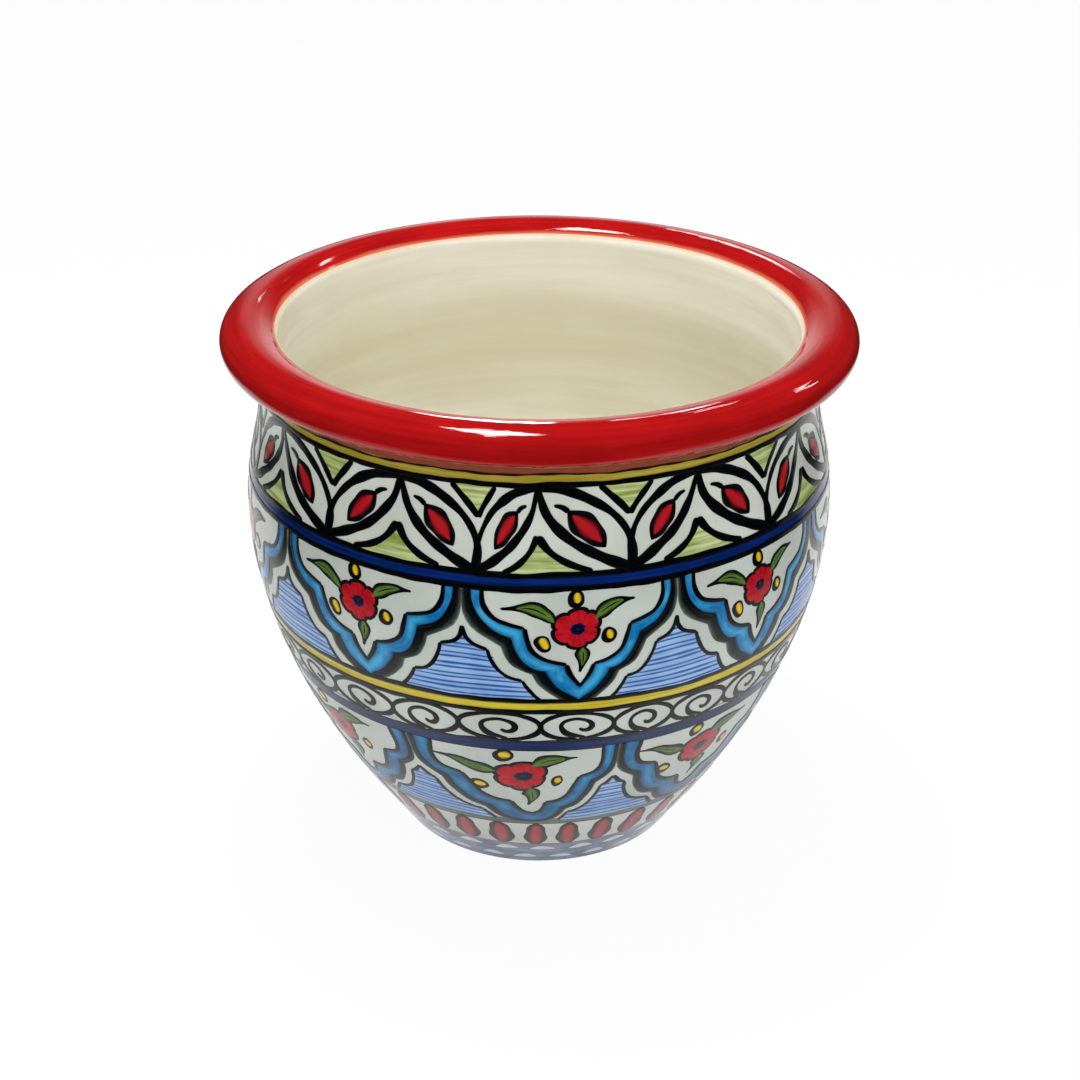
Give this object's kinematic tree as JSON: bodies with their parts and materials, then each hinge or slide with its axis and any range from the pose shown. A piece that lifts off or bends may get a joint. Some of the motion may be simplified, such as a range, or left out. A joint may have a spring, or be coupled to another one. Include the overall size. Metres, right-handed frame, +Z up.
{
  "type": "cachepot",
  "caption": "Round bellied ceramic cachepot on a turned foot ring, with a fat rolled red rim, cream inside and painted ornament bands outside; holds a potted plant.",
  "frame": {"origin": "centre of the foot's standing face", "axes": "+Z up along the pot's axis; the side that the picture shows faces -Y"},
  "size_m": [0.2999, 0.3, 0.267],
  "materials": {
    "bare_clay": "matt fired clay",
    "red_glaze": "gloss",
    "cream_glaze": "gloss",
    "white_glaze": "gloss",
    "blue_grey_glaze": "gloss",
    "brown_glaze": "gloss",
    "grey_green_glaze": "gloss",
    "navy_glaze": "gloss",
    "black_glaze": "gloss",
    "yellow_glaze": "gloss",
    "cobalt_glaze": "gloss"
  },
  "bodies": {
    "root": {"foot_ring": "bare_clay", "floor_slab": "bare_clay", "lower_wall": "bare_clay", "belly_wall": "bare_clay", "neck_wall": "bare_clay", "rim_roll": "bare_clay", "rim_red_glaze": "red_glaze", "inner_cream_glaze": "cream_glaze", "foot_wave_band": "blue_grey_glaze", "heel_brown_line": "brown_glaze", "seed_band": "white_glaze", "heel_green_line": "grey_green_glaze", "lower_lappet_band": "white_glaze", "waist_navy_line": "navy_glaze", "black_lines": "black_glaze", "scroll_band": "white_glaze", "belly_yellow_line": "yellow_glaze", "upper_lappet_band": "white_glaze", "shoulder_cobalt_line": "cobalt_glaze", "leaf_band": "white_glaze", "neck_yellow_line": "yellow_glaze"}
  },
  "joints": []
}
